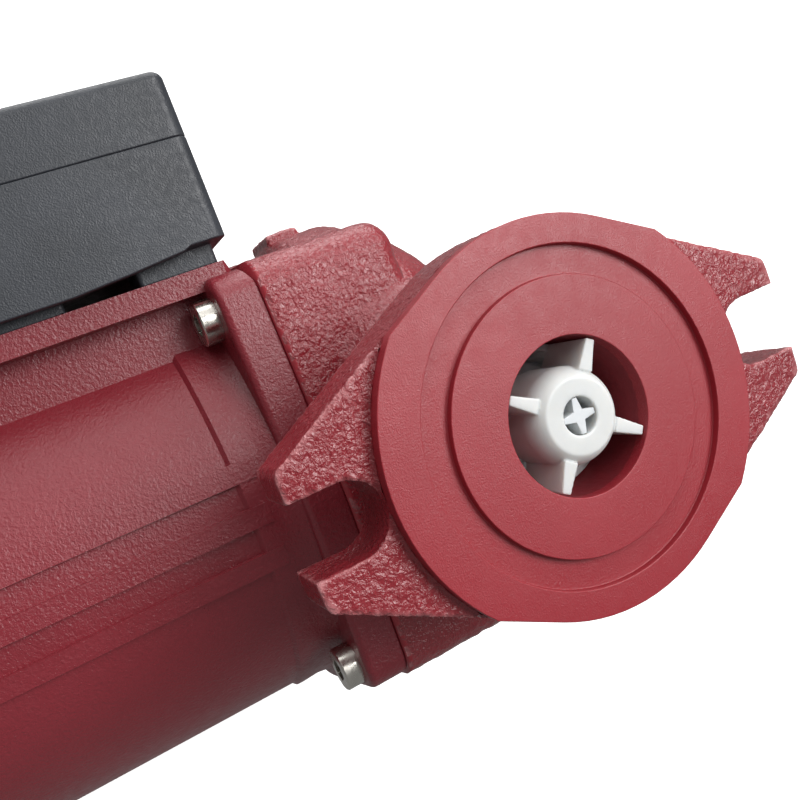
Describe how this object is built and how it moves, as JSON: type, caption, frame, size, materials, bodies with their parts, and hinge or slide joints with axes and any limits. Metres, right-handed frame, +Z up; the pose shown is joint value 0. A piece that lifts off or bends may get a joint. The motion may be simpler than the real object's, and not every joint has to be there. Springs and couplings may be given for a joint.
{
  "type": "circulator pump",
  "caption": "Wet-rotor circulator pump with in-line pipe flanges, a check valve in the discharge port, a round motor housing and a side terminal box with a speed knob.",
  "frame": {"origin": "centre of the suction flange's face, on the pipe axis", "axes": "+Z up the pipe axis from the suction port to the discharge port; -Y along the shaft from the pump to the motor's end; -X towards the terminal box"},
  "size_m": [0.1409, 0.1778, 0.165],
  "materials": {
    "red_cast_iron": "gloss enamel over rough cast iron",
    "red_die_cast": "fine orange-peel powder coat over a die casting",
    "black_plastic": "fine leather grain",
    "grey_plastic": "moulded, satin",
    "gland_plastic": "moulded nylon",
    "white_plastic": "moulded acetal, satin",
    "pale_plastic": "moulded acetal, satin",
    "impeller_plastic": "glass-filled moulding",
    "stainless_steel": "drawn or turned, plain",
    "plated_steel": "nickel plated",
    "brass": "nickel-free turned brass",
    "aluminium": "plain satin sheet",
    "end_ring_aluminium": "cast",
    "ceramic": "ground alumina ceramic",
    "carbon": "resin-bonded carbon",
    "lamination_steel": "stacked sheet",
    "copper_wire": "enamelled copper wire",
    "black_rubber": "moulded",
    "lead_insulation": "extruded",
    "terminal_plastic": "moulded",
    "switch_plastic": "moulded",
    "capacitor_case": "moulded case"
  },
  "bodies": {
    "root": {"pump_housing": "red_cast_iron", "motor_housing": "red_die_cast", "terminal_box_base": "black_plastic", "terminal_box_lid": "black_plastic", "cable_gland_body": "gland_plastic", "cable_gland_nut": "gland_plastic", "cable_gland_locknut": "gland_plastic", "check_valve_cage": "white_plastic", "check_valve_seat": "pale_plastic", "wear_ring": "stainless_steel", "bearing_plate": "stainless_steel", "rotor_can": "stainless_steel", "check_valve_spring": "stainless_steel", "housing_screws": "plated_steel", "box_screws": "plated_steel", "lid_screws": "plated_steel", "ground_screw": "plated_steel", "terminal_screws": "plated_steel", "nameplate": "aluminium", "front_bearing": "ceramic", "rear_bearing": "ceramic", "stator_core": "lamination_steel", "stator_windings": "copper_wire", "can_seal": "black_rubber", "check_valve_o_ring": "black_rubber", "box_gasket": "black_rubber", "cable_gland_seal": "black_rubber", "housing_gasket": "black_rubber", "motor_leads": "lead_insulation", "terminal_block": "terminal_plastic", "speed_switch": "switch_plastic", "capacitor": "capacitor_case"},
    "rotor": {"shaft": "ceramic", "rotor_core": "lamination_steel", "rotor_end_rings": "end_ring_aluminium", "rotor_sleeve": "stainless_steel", "thrust_bearing": "carbon", "thrust_bearing_holder": "stainless_steel", "impeller": "impeller_plastic", "impeller_cover": "impeller_plastic", "impeller_nut": "stainless_steel"},
    "poppet": {"check_valve_poppet": "pale_plastic", "poppet_seal": "black_rubber"},
    "knob": {"speed_knob": "grey_plastic"},
    "vent_ring": {"vent_plug_o_ring": "black_rubber"},
    "vent_plug": {"vent_plug": "brass"}
  },
  "joints": [
    {"name": "rotor_spin", "type": "hinge", "parent": "root", "child": "rotor", "pos_m": [0, 0, 0.0825], "axis": [0, -1, 0], "continuous": true},
    {"name": "poppet_lift", "type": "slide", "parent": "root", "child": "poppet", "axis": [0, 0, 1], "range_m": [0, 0.0045], "stiffness_N_per_m": 50, "springref_m": -0.008, "deforming": ["check_valve_spring"]},
    {"name": "speed_knob_turn", "type": "hinge", "parent": "root", "child": "knob", "pos_m": [-0.0807, -0.098, 0.0825], "axis": [-1, 0, 0], "range_deg": [-60, 60]},
    {"name": "vent_ring_travel", "type": "slide", "parent": "root", "child": "vent_ring", "axis": [0, -1, 0], "range_m": [0, 0.0045]},
    {"name": "vent_plug_turn", "type": "hinge", "parent": "vent_ring", "child": "vent_plug", "pos_m": [0, -0.126, 0.0825], "axis": [0, -1, 0], "range_deg": [0, 1080]}
  ],
  "couplings": [
    {"joint": "vent_plug_turn", "follows": "vent_ring_travel", "rad_per_m": 4188.8}
  ]
}
